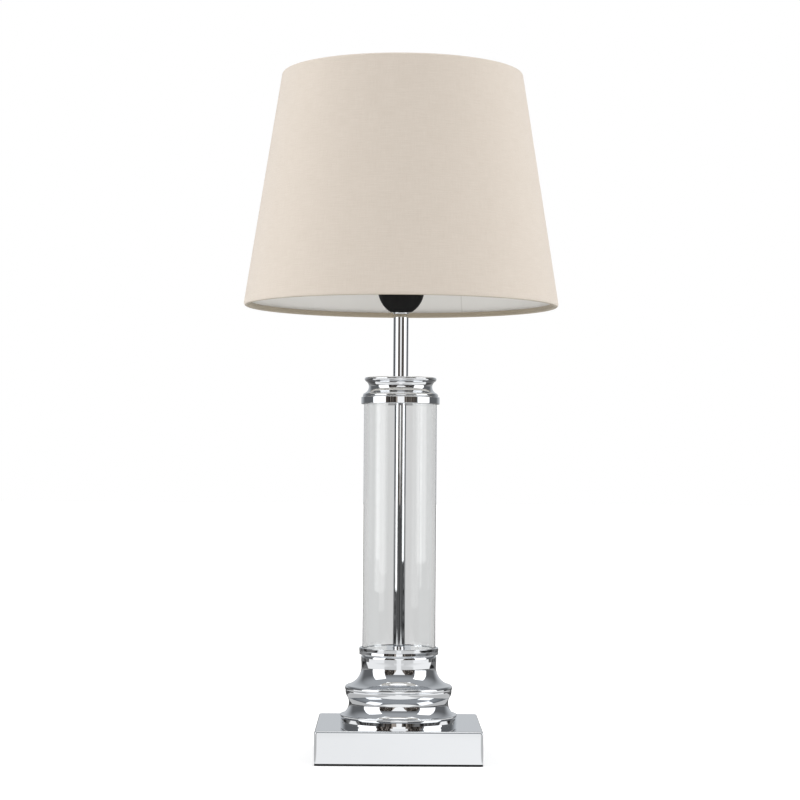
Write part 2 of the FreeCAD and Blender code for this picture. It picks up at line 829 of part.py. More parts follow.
def build_holder_insert():
    """Insulating disc in the skirt that carries the contacts."""
    turned("holder_insert", insert_level, [
        (0, 0),
        (d.skirt_bore - d.holder_gap, 0),
        (d.skirt_bore - d.holder_gap, d.insert_height),
        (d.insert_recess_radius, d.insert_height),
        (d.insert_recess_radius, d.insert_height - d.insert_recess),
        (0, d.insert_height - d.insert_recess),
    ])


def build_terminals():
    """Two brass blocks under the insert, each with a screw from the side."""
    blocks = []
    screws = []
    for side in (-1, 1):
        block = doc.addObject("Part::Box", f"terminal_{len(blocks) + 1}")
        block.setExpression("Length", d.terminal_width.text)
        block.setExpression("Width", d.terminal_length.text)
        block.setExpression("Height", d.terminal_depth.text)
        block.setExpression("Placement.Base.x", (side * d.terminal_offset - d.terminal_width / 2).text)
        block.setExpression("Placement.Base.y", (-d.terminal_length / 2).text)
        blocks.append(block)
        head = doc.addObject("Part::Cylinder", f"terminal_screw_{len(screws) + 1}")
        head.setExpression("Radius", d.terminal_screw_head_radius.text)
        head.setExpression("Height", d.terminal_screw_head.text)
        head.Placement.Rotation = FreeCAD.Rotation(FreeCAD.Vector(1, 0, 0), 90)
        head.setExpression("Placement.Base.x", (side * d.terminal_offset).text)
        head.setExpression("Placement.Base.y", (-d.terminal_length / 2).text)
        head.setExpression("Placement.Base.z", (d.terminal_depth / 2).text)
        screws.append(head)
    for name, members in (("terminals", blocks), ("terminal_screws", screws)):
        group = doc.addObject("Part::Compound", name)
        group.Links = members
        group.setExpression("Placement.Base.z", (insert_level - d.terminal_depth).text)
        keep(group, name)


def build_screw_shell():
    """Pressed shell: a flat floor ring, a wall of thread rings and a plain lead-in.

    The rings are half-pitch arcs that bulge out and in by turns; the two faces of the wall share
    the arcs' centres, so that the sheet keeps its thickness.
    """
    half = d.thread_pitch / 2
    sag = (d.thread_root_radius - d.thread_crest_radius) / 2
    mean = d.thread_crest_radius + sag
    radius = (half * half / 4 + sag * sag) / (2 * sag)
    lead_in = d.thread_start + THREAD_TURNS * d.thread_pitch
    top = collar_level + d.collar_thickness + d.skirt_height - d.skirt_lip - shell_level
    away = d.shell_sheet * (radius - sag) / radius
    below = d.shell_sheet * half / (2 * radius)

    def ring_arcs(steps, outer_face):
        """Corners of one face of the wavy wall, in the order of the steps."""
        corners = []
        upwards = outer_face
        for step in steps:
            outwards = step % 2 == 0
            centre = mean + sag - radius if outwards else mean - sag + radius
            bend = round_about(centre, d.thread_start + (step + 0.5) * half)
            junction = step if upwards else step + 1
            across = mean
            level = d.thread_start + junction * half
            if outer_face:
                across = across + away
                level = level - below if junction % 2 == 0 else level + below
            corners.append((across, level, bend))
        return corners

    steps = list(range(2 * THREAD_TURNS))
    turned("screw_shell", shell_level, [
        (d.shell_floor_radius, 0),
        (mean + away, 0),
        *ring_arcs(steps, True),
        (mean + away, lead_in - below),
        (d.thread_root_radius + d.shell_sheet, lead_in + sag),
        (d.thread_root_radius + d.shell_sheet, top),
        (d.thread_root_radius, top),
        (d.thread_root_radius, lead_in + sag),
        *ring_arcs(reversed(steps), False),
        (mean, d.thread_start),
        (mean, d.shell_sheet),
        (d.shell_floor_radius, d.shell_sheet),
    ])


def build_centre_contact():
    """Slanting leaf over the insert's recess, rounded at its root, and the rivet head beside it."""
    floor = shell_level - d.insert_recess
    rivet = doc.addObject("Part::Cylinder", "contact_rivet")
    rivet.setExpression("Radius", d.rivet_radius.text)
    rivet.setExpression("Height", d.rivet_height.text)
    rivet_place = d.leaf_root + d.leaf_thickness + d.leaf_gap + d.rivet_radius
    rivet.setExpression("Placement.Base.x", (-rivet_place).text)
    rivet.setExpression("Placement.Base.z", floor.text)
    keep(rivet, "contact_rivet")
    body = new_body("contact_leaf", floor)
    sketch = new_sketch(body, "leaf_side")
    length = d.leaf_root + d.leaf_tip
    outline(sketch, [
        (0, d.leaf_gap),
        (length, d.leaf_gap + d.leaf_lift),
        (length, d.leaf_gap + d.leaf_lift + d.leaf_thickness),
        (0, d.leaf_gap + d.leaf_thickness, half_turn(True)),
    ])
    strip = pad(body, sketch, d.leaf_width, "leaf_strip")
    strip.SideType = "Symmetric"
    body.setExpression("Placement.Base.x", (-d.leaf_root).text)


# ---------------------------------------------------------------- shade


wall_lean = d.shade_bottom_radius - d.shade_top_radius
wall_rise = root(d.shade_height * d.shade_height + wall_lean * wall_lean)
lean_in = wall_lean / wall_rise
lean_up = d.shade_height / wall_rise


def wall_point(along, inward):
    """Place beside the shade's wall: so far up its slope and so far in from its outer face."""
    across = d.shade_bottom_radius - along * lean_in - inward * lean_up
    up = along * lean_up - inward * lean_in
    return across, up


def build_shade_cover():
    """Cloth: outer face, rolled round the wire of each hem and turned in."""
    cloth = d.cloth_thickness
    inner = cloth + 2 * d.wire_radius
    outer = inner + cloth
    low = cloth + d.wire_radius
    high = wall_rise - low
    turned("shade_cover", shade_level, [
        wall_point(low, as_size(0)),
        (*wall_point(high, as_size(0)), half_turn(True)),
        wall_point(high, outer),
        wall_point(high - d.hem_reach, outer),
        wall_point(high - d.hem_reach, inner),
        (*wall_point(high, inner), half_turn(False)),
        wall_point(high, cloth),
        (*wall_point(low, cloth), half_turn(False)),
        wall_point(low, inner),
        wall_point(low + d.hem_reach, inner),
        wall_point(low + d.hem_reach, outer),
        (*wall_point(low, outer), half_turn(True)),
    ])


def build_shade_lining():
    """White liner laminated to the inside of the cloth, between the two wires."""
    low = d.cloth_thickness + 2 * d.wire_radius
    high = wall_rise - low
    outer = d.cloth_thickness + d.lining_gap
    inner = outer + d.lining_thickness
    turned("shade_lining", shade_level, [
        wall_point(low, outer),
        wall_point(high, outer),
        wall_point(high, inner),
        wall_point(low, inner),
    ])


def build_shade_wires():
    """Wire rings in the two hems."""
    roll = d.cloth_thickness + d.wire_radius
    for name, along in (("shade_wire_low", roll), ("shade_wire_high", wall_rise - roll)):
        across, up = wall_point(along, roll)
        wire = doc.addObject("Part::Torus", name)
        wire.setExpression("Radius1", across.text)
        wire.setExpression("Radius2", (d.wire_radius - d.wire_slack).text)
        wire.setExpression("Placement.Base.z", (shade_level + up).text)
        keep(wire, name)


def build_shade_fitter():
    """Flat ring that drops over the skirt and rests on its shoulder."""
    disc_with_hole("shade_fitter", fitter_level, d.fitter_radius, d.skirt_radius + d.fitter_gap,
                   d.fitter_thickness)


def build_shade_arms():
    """Three wires from the fitter ring out to the wall and down it to the lower wire ring."""
    body = new_body("shade_arms", fitter_level + d.fitter_thickness / 2)
    lining_face = d.cloth_thickness + d.lining_gap + d.lining_thickness
    inward = lining_face + d.arm_gap + d.arm_radius
    level = d.shade_drop + d.fitter_thickness / 2
    foot = wall_point(d.cloth_thickness + 2 * d.wire_radius - d.arm_foot_weld, inward)
    knee_across = d.shade_bottom_radius - (level * lean_in + inward) / lean_up
    start = (d.fitter_radius - d.arm_weld, as_size(0))
    knee = (knee_across, as_size(0))
    end = (foot[0], foot[1] - level)
    path = new_sketch(body, "arm_path")
    turn = math.atan2(knee[1].value - end[1].value, end[0].value - knee[0].value)
    setback = d.arm_bend.value * math.tan(turn / 2)
    before = FreeCAD.Vector(knee[0].value - setback, 0, 0)
    down = FreeCAD.Vector(end[0].value - knee[0].value, end[1].value, 0).normalize()
    after = FreeCAD.Vector(knee[0].value, 0, 0) + down * setback
    middle = before - FreeCAD.Vector(0, d.arm_bend.value, 0)
    first = path.addGeometry(Part.LineSegment(FreeCAD.Vector(start[0].value, 0, 0), before), False)
    circle = Part.Circle(middle, FreeCAD.Vector(0, 0, 1), d.arm_bend.value)
    arc = path.addGeometry(Part.ArcOfCircle(circle, math.pi / 2 - turn, math.pi / 2), False)
    last = path.addGeometry(Part.LineSegment(after, FreeCAD.Vector(end[0].value, end[1].value, 0)), False)
    corner = path.addGeometry(Part.Point(FreeCAD.Vector(knee[0].value, 0, 0)), True)
    path.addConstraint([
        Sketcher.Constraint("Tangent", first, 2, arc, 2),
        Sketcher.Constraint("Tangent", arc, 1, last, 1),
        Sketcher.Constraint("PointOnObject", first, 1, -1),
        Sketcher.Constraint("Horizontal", first),
        Sketcher.Constraint("PointOnObject", corner, 1, first),
        Sketcher.Constraint("PointOnObject", corner, 1, last),
    ])
    for constraint, size in (
        (Sketcher.Constraint("DistanceX", -1, 1, first, 1, start[0].value), start[0]),
        (Sketcher.Constraint("DistanceX", -1, 1, corner, 1, knee[0].value), knee[0]),
        (Sketcher.Constraint("Radius", arc, d.arm_bend.value), d.arm_bend),
        (Sketcher.Constraint("DistanceX", -1, 1, last, 2, end[0].value), end[0]),
        (Sketcher.Constraint("DistanceY", last, 2, -1, 1, -end[1].value), -end[1]),
    ):
        number = path.addConstraint(constraint)
        path.setExpression(f"Constraints[{number}]", size.text)
    section = circle_sketch(body, "arm_section", [(0, 0)], d.arm_radius, "YZ_Plane")
    section.setExpression("AttachmentOffset.Base.z", start[0].text)
    pipe = body.newObject("PartDesign::AdditivePipe", "arm_pipe")
    pipe.Profile = section
    pipe.Spine = path
    doc.recompute()
    pattern = body.newObject("PartDesign::PolarPattern", "arm_pattern")
    pattern.Originals = [pipe]
    for feature in body.Origin.OriginFeatures:
        if feature.Role == "Z_Axis":
            pattern.Axis = (feature, [""])
    pattern.Angle = 360
    pattern.setExpression("Occurrences", d.arm_count.text)
    body.Tip = pattern
    body.setExpression("Placement.Rotation.Angle", f"{d.arm_first_angle.text} * 1 deg")


def build_ring_nut():
    """Threaded ring that holds the fitter down, with a scalloped grip."""
    bore = d.skirt_radius + d.running_gap
    body = turned("shade_ring_nut", ring_nut_level, [
        (bore, 0),
        (d.ring_nut_radius, 0),
        (d.ring_nut_radius, d.ring_nut_height - d.ring_nut_edge, upright_at_start),
        (d.ring_nut_radius - d.ring_nut_edge, d.ring_nut_height),
        (bore, d.ring_nut_height),
    ])
    place = d.ring_nut_radius + d.grip_radius - d.grip_depth
    scallop = circle_sketch(body, "grip_circle", [(place, 0)], d.grip_radius)
    cut = pocket(body, scallop, d.ring_nut_height, "grip_cut")
    doc.recompute()
    pattern = body.newObject("PartDesign::PolarPattern", "grip_pattern")
    pattern.Originals = [cut]
    for feature in body.Origin.OriginFeatures:
        if feature.Role == "Z_Axis":
            pattern.Axis = (feature, [""])
    pattern.Angle = 360
    pattern.setExpression("Occurrences", d.grip_count.text)
    body.Tip = pattern


# ---------------------------------------------------------------- assembly


build_base_pad()
build_base_cover()
build_cover_screws()
build_base_shell()
build_ballast()
build_cord_bush()
disc_with_hole("tie_washer", tie_washer_floor, d.washer_radius, tie_hole, d.washer_thickness)
build_hex_nut("tie_nut", tie_nut_floor)
build_tie_tube()
build_foot()
build_glass_seat()
disc_with_hole("glass_gasket_low", low_gasket_level, d.glass_radius, glass_bore, d.gasket_thickness)
build_glass_tube()
disc_with_hole("glass_gasket_high", high_gasket_level, d.glass_radius, glass_bore, d.gasket_thickness)
build_necking_ring()
disc_with_hole("column_washer", capital_level, d.washer_radius, tie_hole, d.washer_thickness)
build_hex_nut("column_nut", capital_level + d.washer_thickness)
build_capital()
build_stem()
build_holder_cap()
build_holder_skirt()
build_holder_insert()
build_terminals()
build_screw_shell()
build_centre_contact()
build_ring_nut()
build_shade_fitter()
build_shade_arms()
build_shade_wires()
build_shade_cover()
build_shade_lining()

doc.recompute()


def check_and_write():
    """Stop on any failed feature or broken solid, then write one file for each piece."""
    for item in doc.Objects:
        if "Invalid" in item.State or "Error" in item.State:
            raise RuntimeError(f"{item.Label} failed: {item.State}")
    for part in PARTS:
        if part.Shape.isNull() or not part.Shape.isValid():
            raise RuntimeError(f"{part.Label} has no valid shape")
    os.makedirs("parts", exist_ok=True)
    for part in PARTS:
        part.Shape.exportStep(f"parts/{part.Label}.step")
        box = part.Shape.optimalBoundingBox(False)
        print(f"{part.Label}: {len(part.Shape.Solids)} solid, {part.Shape.Volume:.1f} mm3, "
              f"z {box.ZMin:.2f} to {box.ZMax:.2f}")


check_and_write()
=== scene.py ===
import json
import math

import bpy
import numpy as np
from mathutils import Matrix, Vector


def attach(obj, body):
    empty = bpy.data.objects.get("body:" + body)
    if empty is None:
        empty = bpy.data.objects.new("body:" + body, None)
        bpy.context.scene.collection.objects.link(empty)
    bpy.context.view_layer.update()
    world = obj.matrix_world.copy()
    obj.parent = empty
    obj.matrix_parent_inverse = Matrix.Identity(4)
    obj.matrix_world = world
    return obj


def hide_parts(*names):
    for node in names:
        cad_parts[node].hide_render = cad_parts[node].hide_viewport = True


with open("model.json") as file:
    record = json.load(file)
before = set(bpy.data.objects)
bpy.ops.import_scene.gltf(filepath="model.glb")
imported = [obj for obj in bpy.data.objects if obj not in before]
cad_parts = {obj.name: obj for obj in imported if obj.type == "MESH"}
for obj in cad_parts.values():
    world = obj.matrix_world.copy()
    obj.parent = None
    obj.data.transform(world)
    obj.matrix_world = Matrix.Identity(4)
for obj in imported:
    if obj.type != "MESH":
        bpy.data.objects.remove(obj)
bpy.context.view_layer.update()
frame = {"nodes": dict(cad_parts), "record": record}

# Metres, +Z up, the origin under the middle of the base, the front facing -Y.

# The shade: its cone, the cloth and the wire that each hem is rolled round.
SHADE_LEVEL = 0.35508
SHADE_LOW_RADIUS = 0.125
SHADE_HIGH_RADIUS = 0.0957
SHADE_RISE = 0.1854
CLOTH = 0.0006
HEM_WIRE = 0.0014
HEM_REACH = 0.0024
HEM_ROLL = CLOTH + HEM_WIRE
SHADE_NARROWING = SHADE_LOW_RADIUS - SHADE_HIGH_RADIUS
SHADE_SLOPE = math.hypot(SHADE_RISE, SHADE_NARROWING)
LEAN_IN = SHADE_NARROWING / SHADE_SLOPE
LEAN_UP = SHADE_RISE / SHADE_SLOPE

# The cloth's mesh: steps round the shade, up its wall, round half a wire and along the tucked edge.
ROUND_STEPS = 288
WALL_STEPS = 92
ROLL_STEPS = 12
TUCK_STEPS = 8

# The cloth's map: its length round the shade, its seam at a quarter turn, which is the back, and the
# share of the lower roll, next to the outer face, that the painted shade on the turned-in hem doesn't reach.
MAP_ROUND = 2.0 * math.pi * 0.110
SEAM = 0.25 * MAP_ROUND
UNSHADED_ROLL = 0.30

# The middle of the glass wall, and how nearly square light has to leave the bore to go straight on:
# 0 is square to the wall and 1 along it.
GLASS_MIDDLE = 0.02765
NEARLY_SQUARE = 0.07

WHITE = (1.0, 1.0, 1.0)


# ---------------------------------------------------------------- camera

PICTURE_SIDE = 800
CAMERA_DISTANCE = 1.750
CAMERA_HEIGHT = 0.2228
CAMERA_LEFT = 0.0103
CAMERA_PIXELS = 2207.0
HORIZON_ROW = 473.25
VANISHING_COLUMN = 387.0
ROLL_DEGREES = -0.38
SENSOR_WIDTH = 36.0


def place_camera():
    """Camera in front of the lamp, turned so that the horizon and the vanishing point of the base's
    side edges fall on their row and column of the picture.
    """
    lens = bpy.data.cameras.new("camera")
    lens.sensor_width = SENSOR_WIDTH
    lens.lens = SENSOR_WIDTH * CAMERA_PIXELS / PICTURE_SIDE
    lens.clip_start = 0.05
    camera = bpy.data.objects.new("camera", lens)
    bpy.context.scene.collection.objects.link(camera)
    tilt = math.atan((HORIZON_ROW - PICTURE_SIDE / 2) / CAMERA_PIXELS)
    yaw = math.atan((PICTURE_SIDE / 2 - VANISHING_COLUMN) / CAMERA_PIXELS)
    camera.location = (-CAMERA_LEFT, -CAMERA_DISTANCE, CAMERA_HEIGHT)
    camera.rotation_euler = (math.pi / 2 + tilt, math.radians(ROLL_DEGREES), -yaw)
    bpy.context.scene.camera = camera


# ---------------------------------------------------------------- shader expressions


class Flow:
    """A socket's value; a sum, product or comparison with it adds a Math node to its tree."""

    def __init__(self, tree, socket):
        self.tree = tree
        self.socket = socket

    def math(self, operation, first, second=None):
        node = self.tree.nodes.new("ShaderNodeMath")
        node.operation = operation
        for place, value in enumerate((first, second)):
            if isinstance(value, Flow):
                self.tree.links.new(value.socket, node.inputs[place])
            elif value is not None:
                node.inputs[place].default_value = value
        return Flow(self.tree, node.outputs[0])

    def __add__(self, other):
        return self.math("ADD", self, other)

    def __radd__(self, other):
        return self.math("ADD", other, self)

    def __sub__(self, other):
        return self.math("SUBTRACT", self, other)

    def __rsub__(self, other):
        return self.math("SUBTRACT", other, self)

    def __mul__(self, other):
        return self.math("MULTIPLY", self, other)

    def __rmul__(self, other):
        return self.math("MULTIPLY", other, self)

    def __truediv__(self, other):
        return self.math("DIVIDE", self, other)

    def above(self, level):
        return self.math("GREATER_THAN", self, level)

    def below(self, level):
        return self.math("LESS_THAN", self, level)

    def sine(self):
        return self.math("SINE", self)

    def size(self):
        return self.math("ABSOLUTE", self)

    def most(self, other):
        return self.math("MAXIMUM", self, other)

    def step(self, low, high):
        """0 below low, 1 above high and a smooth rise between them."""
        node = self.tree.nodes.new("ShaderNodeMapRange")
        node.interpolation_type = "SMOOTHSTEP"
        self.tree.links.new(self.socket, node.inputs["Value"])
        node.inputs["From Min"].default_value = low
        node.inputs["From Max"].default_value = high
        return Flow(self.tree, node.outputs["Result"])

    def band(self, rise, fall):
        """A smooth rise from 0 to 1 over the pair rise, and back to 0 over the pair fall."""
        return self.step(*rise) * (1.0 - self.step(*fall))


class Finish:
    """A node tree, and the one method that adds a node to it."""

    def __init__(self, owner):
        self.owner = owner
        owner.use_nodes = True
        self.tree = owner.node_tree
        self.tree.nodes.clear()

    def node(self, kind, settings=None, out=0, **values):
        """A node of that kind, its settings made first, and its output or outputs.

        A value's name is its socket's with _ for a space, or n and its number where two share a name.
        """
        node = self.tree.nodes.new("ShaderNode" + kind)
        for name, value in (settings or {}).items():
            setattr(node, name, value)
        for name, value in values.items():
            key = int(name[1:]) if name[0] == "n" and name[1:].isdigit() else name.replace("_", " ")
            if isinstance(value, Flow):
                self.tree.links.new(value.socket, node.inputs[key])
            else:
                if hasattr(value, "__len__") and len(value) == 3 and node.inputs[key].type == "RGBA":
                    value = (*value, 1.0)
                node.inputs[key].default_value = value
        if not len(node.outputs):
            return None
        if isinstance(out, tuple):
            return [Flow(self.tree, node.outputs[name]) for name in out]
        return Flow(self.tree, node.outputs[out])

    def split(self, vector):
        """The three parts of a vector."""
        return self.node("SeparateXYZ", out=("X", "Y", "Z"), Vector=vector)

    def place(self):
        """Object coordinates, in metres."""
        return self.node("TexCoord", out="Object")

    def noise(self, at, scale, detail=3.0, roughness=0.55, stretch=None):
        """Soft noise; stretch packs it closer along an axis above 1 and draws it out below 1."""
        if stretch:
            at = self.node("Mapping", Vector=at, Scale=stretch)
        return self.node("TexNoise", Vector=at, Scale=scale, Detail=detail, Roughness=roughness)

    def blend(self, amount, first, second):
        """first where amount is 0, second where it is 1; both are colours."""
        return self.node("Mix", {"data_type": "RGBA"}, out=2, n0=amount, n6=first, n7=second)

    def bump(self, height, distance, strength):
        return self.node("Bump", Height=height, Distance=distance, Strength=strength)

    def surface(self, shader):
        kind = "World" if isinstance(self.owner, bpy.types.World) else "Material"
        self.node("Output" + kind, Surface=shader)
        return self.owner

    def skin(self, tone, roughness, relief, **more):
        """The material, ended with a Principled surface."""
        return self.surface(self.node("BsdfPrincipled", Base_Color=tone, Roughness=roughness,
                                      Normal=relief, **more))


def finish(name):
    return Finish(bpy.data.materials.new(name))


def scaled(colour, share):
    """The colour with each part times share."""
    return tuple(share * part for part in colour)


def mixed(share, first, second):
    """first where share is 0, second where it is 1; both are numbers or sockets' values."""
    return first + (second - first) * share


# ---------------------------------------------------------------- finishes


def chrome_finish():
    """Polished chrome: an even mirror with faint wiping haze and a trace of uneven plating."""
    colour = (0.80, 0.815, 0.835)
    haze = 0.014
    paint = finish("chrome")
    at = paint.place()
    cloud = paint.noise(at, 38.0, 4.0)
    wiped = paint.noise(at, 160.0, 5.0, stretch=(1.0, 1.0, 7.0))
    tone = paint.blend(cloud, scaled(colour, 0.965), colour)
    ripple = paint.bump(paint.noise(at, 55.0, 2.0), 0.00001, 0.5)
    return paint.skin(tone, haze + 0.025 * wiped * cloud, ripple, Metallic=1.0)


def glass_finish():
    """Clear drawn glass: almost colourless, with faint lengthwise draw lines.

    Light is bent and mirrored by the wall, except what leaves the bore nearly square to it, which goes
    straight on, so that the rod in the middle keeps the mirror picture of chrome. Such light meets the
    front of the inner face and then the back of the outer one.
    """
    paint = finish("clear_glass")
    at = paint.place()
    across, away, _ = paint.split(at)
    inner = (across * across + away * away).below(GLASS_MIDDLE ** 2)
    back = paint.node("NewGeometry", out="Backfacing")
    square = paint.node("LayerWeight", out="Facing").below(NEARLY_SQUARE)
    leaving = square * (inner * (1.0 - back) + (1.0 - inner) * back)
    drawn = paint.noise(at, 90.0, 3.0, stretch=(1.0, 1.0, 0.02))
    tone = paint.blend(drawn, (0.975, 0.985, 0.985), (0.995, 1.0, 1.0))
    wall = paint.node("BsdfPrincipled", Base_Color=tone, Roughness=0.0, IOR=1.5, Specular_IOR_Level=1.0,
                      Transmission_Weight=1.0, Normal=paint.bump(drawn, 0.00002, 0.4))
    return paint.surface(paint.node("MixShader", n0=leaving, n1=wall, n2=paint.node("BsdfTransparent")))


def moulded_finish(name, colour, roughness, shine=0.5):
    """Moulded plastic or rubber: fine stipple, slightly uneven gloss and colour."""
    paint = finish(name)
    at = paint.place()
    stipple = paint.noise(at, 900.0)
    cloud = paint.noise(at, 60.0)
    tone = paint.blend(cloud, scaled(colour, 0.85), scaled(colour, 1.15))
    return paint.skin(tone, roughness + 0.12 * cloud, paint.bump(stipple, 0.00004, 0.5),
                      Specular_IOR_Level=shine)


def metal_finish(name, colour, roughness, stretch=(1.0, 1.0, 12.0)):
    """Plated, pressed or cast metal: its grain, and clouded gloss."""
    paint = finish(name)
    at = paint.place()
    grain = paint.noise(at, 300.0, 4.0, stretch=stretch)
    cloud = paint.noise(at, 70.0, 4.0)
    tone = paint.blend(grain * cloud, colour, scaled(colour, 0.7))
    return paint.skin(tone, roughness + 0.15 * cloud, paint.bump(grain, 0.00003, 0.4), Metallic=1.0)


def coated_finish(name, colour, roughness):
    """Powder coat: orange-peel skin."""
    paint = finish(name)
    at = paint.place()
    peel = paint.noise(at, 700.0, 2.0)
    tone = paint.blend(paint.noise(at, 40.0), colour, scaled(colour, 0.93))
    return paint.skin(tone, roughness + 0.08 * peel, paint.bump(peel, 0.00005, 0.5))


def foam_finish():
    """Black closed-cell foam: small open pits, sunk by the bump and painted darker as a painted shade."""
    paint = finish("black_foam")
    cells = paint.node("TexVoronoi", {"feature": "F1"}, Vector=paint.place(), Scale=1400.0)
    # Painted shade: the colour darkens into each pit, following the bump.
    tone = paint.blend(cells, (0.004, 0.004, 0.004), (0.014, 0.014, 0.014))
    return paint.skin(tone, 0.85 + 0.1 * cells, paint.bump(cells, 0.0002, 0.6))


def cloth_finish(hem_shade_from, hem_shade_to):
    """Plain woven cream cloth: warp and weft at half a millimetre, with slubs and a faint mottle.

    The map runs round the shade in metres across and up its slope in metres along. Between the two
    values given, the turned-in part of the lower hem is painted darker as a painted shade, and along the seam
    it laps over itself.
    """
    pitch = 0.00048
    paint = finish("cream_cloth")
    around, along, _ = paint.split(paint.node("UVMap", {"uv_map": "thread"}))
    at = paint.node("CombineXYZ", X=around, Y=along)

    def thread(position, stretch):
        """A row of threads, a sine of their place with the waver of hand-fed yarn."""
        waver = paint.noise(at, 1500.0, 2.0, stretch=stretch)
        return (position * (2 * math.pi / pitch) + 2.5 * waver).sine().size()

    over = (around * (math.pi / pitch)).sine() * (along * (math.pi / pitch)).sine()
    side = over.step(-0.35, 0.35)
    threads = side * thread(around, (1.0, 0.08, 1.0)) + (1.0 - side) * thread(along, (0.08, 1.0, 1.0))
    slub_up = paint.noise(at, 1300.0, 3.0, 0.6, stretch=(1.0, 0.06, 1.0))
    slub_round = paint.noise(at, 1300.0, 3.0, 0.6, stretch=(0.06, 1.0, 1.0))
    shade = 0.45 * threads + 0.4 * slub_up + 0.6 * slub_round + 0.12 * paint.noise(at, 45.0)
    tone = paint.blend(shade.step(0.35, 1.35), (0.600, 0.524, 0.443), (0.722, 0.649, 0.572))
    # Painted shade: the turned-in part of the lower hem and most of its roll are darkened in the colour.
    painted_hem_shade = along.band((hem_shade_from - 0.0002, hem_shade_from + 0.0002), (hem_shade_to - 0.0006, hem_shade_to))
    tone = paint.blend(painted_hem_shade, tone, (0.395, 0.335, 0.245))
    past_seam = around - SEAM
    lap = past_seam.band((-0.0003, 0.0001), (0.0080, 0.0600))
    edge = 1.0 - past_seam.size().step(0.0, 0.0005)
    tone = paint.blend(0.35 * edge, tone, (0.42, 0.36, 0.29))
    height = threads + 0.8 * slub_up + 0.8 * slub_round + 3.0 * lap
    return paint.skin(tone, 0.86, paint.bump(height, 0.00012, 0.55),
                      Sheen_Weight=0.28, Sheen_Roughness=0.5)


def liner_finish():
    """White liner film: smooth, with faint draw marks and a lap, 1 mm wide, at 65 degrees from +X."""
    paint = finish("white_liner")
    at = paint.place()
    across, away, _ = paint.split(at)
    drawn = paint.noise(at, 120.0, stretch=(1.0, 1.0, 0.1))
    tone = paint.blend(paint.noise(at, 25.0), (0.90, 0.885, 0.855), (0.84, 0.825, 0.79))
    lap = (0.906 * across - 0.423 * away).size().below(0.0005) * away.above(0.0)
    tone = paint.blend(0.4 * lap, tone, (0.60, 0.58, 0.54))
    return paint.skin(tone, 0.42 + 0.1 * drawn, paint.bump(drawn, 0.00003, 0.4))


# ---------------------------------------------------------------- floor, surroundings and lamps

# The grey that shows through glass, and half the floor's side.
THROUGH_GLASS = 0.68
FLOOR_HALF = 14.0

# The pale sheet under the lamp as chrome mirrors it: where its edges fade, in metres in front of the
# lamp's axis (below 0 is behind it) and to either side; its brightness; the share of it darkened beside
# the base as a painted shadow, how much darker two wedges in front are painted, and how much brighter the
# right side is painted, as painted light.
SHEET_FAR_EDGE = (-0.22, -0.18)
SHEET_NEAR_EDGE = (1.10, 1.14)
SHEET_SIDE_EDGE = (0.93, 0.97)
SHEET_LEVEL = 1.02
WEDGE_DIMMING = 0.32
BASE_SHADOW_DEPTH = 0.45
RIGHT_PAINTED_LIGHT = 0.05

# The floor's own light to the camera, near the lamp and what is added far from it.
FLOOR_GLOW = 0.30
FAR_GLOW = 0.55

# The world's light on the object: from front and back, and what is added towards the sides.
FRONT_LIGHT = 0.20
SIDE_LIGHT = 1.35

# Mirrored colours of the walls and of the bright middle of the front, and how bright that middle is.
WALL_TINT = (0.955, 0.99, 1.03)
CENTRE_TINT = (1.0, 0.88, 0.78)
CENTRE_LEVEL = 1.12

# Soft boxes: name, metres to the right, in front and up. Then their width, height and watts.
SOFT_BOXES = (("left_box", -1.178, 0.549, 0.75), ("right_box", 1.236, 0.402, 0.79))
SOFT_BOX_SIZE = (1.00, 1.38, 6.5)
TOP_BOX_SIZE = (1.2, 1.0, 5.0)


def light_kinds(paint):
    """1 on camera rays, on rays off a mirror, and on rays through glass.

    A ray that was bent by clear glass counts as both of the last two.
    """
    return paint.node("LightPath", out=("Is Camera Ray", "Is Glossy Ray", "Is Transmission Ray"))


